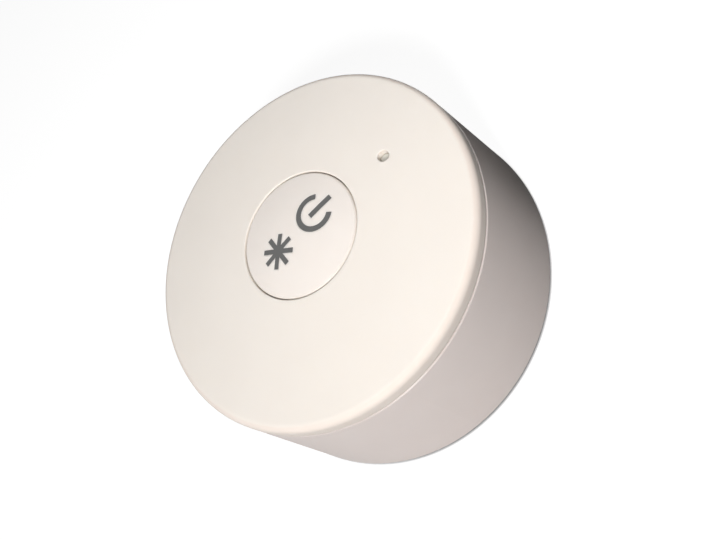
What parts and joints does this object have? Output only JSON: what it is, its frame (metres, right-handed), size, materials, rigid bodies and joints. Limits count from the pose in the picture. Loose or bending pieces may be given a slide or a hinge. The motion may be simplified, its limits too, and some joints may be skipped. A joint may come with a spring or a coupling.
{
  "type": "led dimmer",
  "caption": "Round wireless LED dimmer puck with a crowned push button, brightness and power marks, an indicator light and a twist-off battery cover.",
  "frame": {"origin": "middle of the round foot ring's underside, on the plane that the puck stands on", "axes": "+Z out of the face along the round body's axis, +Y from the button to the indicator light, +X to the right when the face is seen with the indicator at the top"},
  "size_m": [0.0564, 0.0564, 0.0252],
  "materials": {
    "cover_plastic": "warm white moulded plastic, fine satin",
    "button_plastic": "warm white moulded plastic, fine satin",
    "mark_grey": "grey second moulding, matt",
    "clear_plastic": "clear polycarbonate, slightly hazy",
    "housing_plastic": "warm white moulded plastic, satin",
    "foot_rubber": "soft grey silicone, matt",
    "screw_steel": "zinc-plated steel",
    "board_laminate": "green solder mask over laminate",
    "black_plastic": "black moulding compound",
    "sheet_steel": "tinned sheet steel",
    "led_resin": "pale resin over a white base",
    "antenna_ceramic": "white ceramic block with silvered ends",
    "capacitor_resin": "ochre resin",
    "capacitor_ceramic": "tan ceramic with silvered ends",
    "cell_steel": "nickel-plated steel",
    "cell_pellet": "pressed active material, hidden inside the cell",
    "holder_plastic": "dark grey moulded plastic",
    "contact_brass": "nickel-brass spring strip"
  },
  "bodies": {
    "case": {"front_cover": "cover_plastic", "light_pipe": "clear_plastic", "housing": "housing_plastic", "foot_ring": "foot_rubber", "case_screws": "screw_steel", "board_screws": "screw_steel", "circuit_board": "board_laminate", "switch_base": "black_plastic", "switch_frame": "sheet_steel", "switch_dome": "sheet_steel", "switch_terminals": "sheet_steel", "status_led": "led_resin", "radio_chip": "black_plastic", "crystal": "sheet_steel", "chip_antenna": "antenna_ceramic", "reservoir_capacitor": "capacitor_resin", "capacitors": "capacitor_ceramic", "resistors": "black_plastic", "cell_can": "cell_steel", "cell_gasket": "black_plastic", "cell_cap": "cell_steel", "cell_filling": "cell_pellet", "battery_holder": "holder_plastic", "positive_contact": "contact_brass", "negative_contact": "contact_brass"},
    "button": {"push_button": "button_plastic", "power_mark": "mark_grey", "brightness_mark": "mark_grey"},
    "plunger": {"switch_plunger": "black_plastic"},
    "back_cover": {"battery_cover": "housing_plastic"}
  },
  "joints": [
    {"name": "button_press", "type": "slide", "parent": "case", "child": "button", "axis": [0, 0, -1], "range_m": [0, 0.0003], "stiffness_N_per_m": 5000},
    {"name": "plunger_press", "type": "slide", "parent": "case", "child": "plunger", "axis": [0, 0, -1], "range_m": [0, 0.0003], "deforming": ["switch_dome"]},
    {"name": "back_cover_turn", "type": "hinge", "parent": "case", "child": "back_cover", "pos_m": [0, 0, 0], "axis": [0, 0, -1], "range_deg": [0, 40]}
  ],
  "couplings": [
    {"joint": "plunger_press", "follows": "button_press", "ratio": 1}
  ]
}
